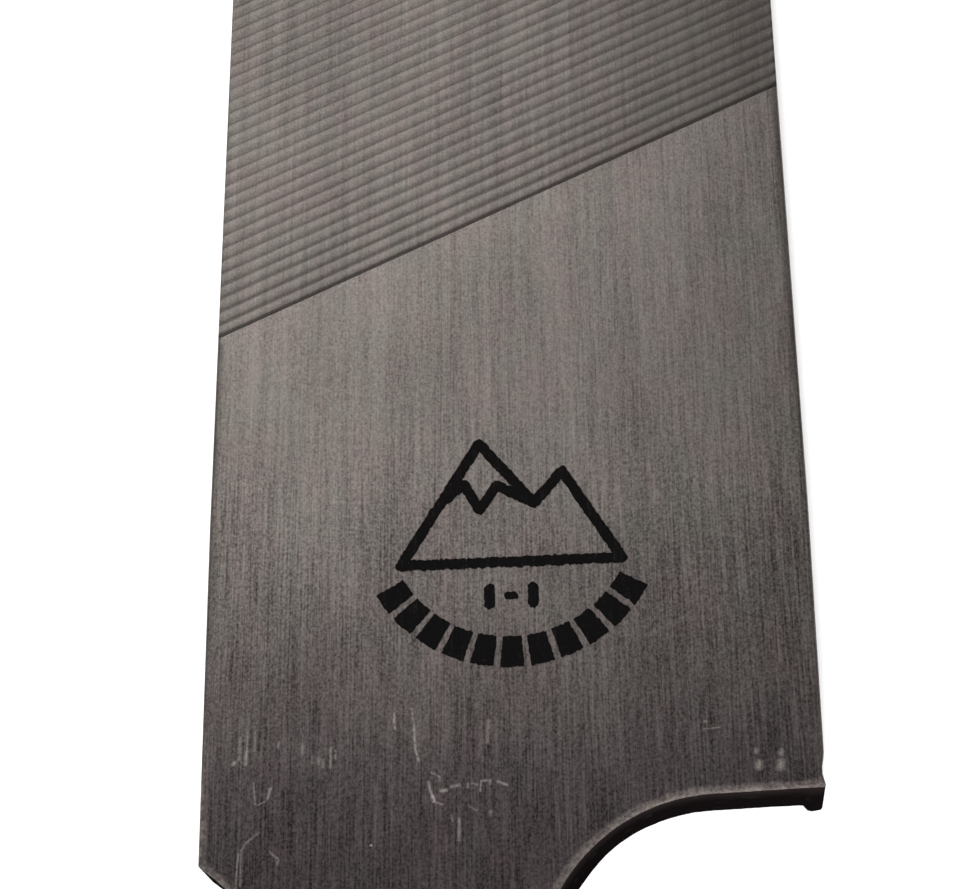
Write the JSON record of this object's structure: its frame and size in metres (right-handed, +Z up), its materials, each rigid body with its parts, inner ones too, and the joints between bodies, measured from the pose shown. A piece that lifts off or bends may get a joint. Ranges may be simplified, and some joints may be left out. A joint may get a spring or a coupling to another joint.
{
  "type": "flat file for ski edges",
  "caption": "Flat single-cut steel file with a plain heel, hollow shoulders, a bare tang and a small printed peak mark, for tuning ski and snowboard edges.",
  "frame": {"origin": "centre of the file's footprint on the surface it lies on, back face down", "axes": "+Y from the tang to the tip, +X to the right seen from above with the tip away, +Z up out of the marked face"},
  "size_m": [0.025, 0.258, 0.003],
  "materials": {
    "file_steel": "ground lengthwise, dull grey-brown, lightly scratched",
    "black_ink": "matt black print with rough edges"
  },
  "bodies": {
    "root": {"file_blank": "file_steel", "ink_emblem": "black_ink", "ink_dashes": "black_ink", "ink_arc": "black_ink"}
  },
  "joints": []
}
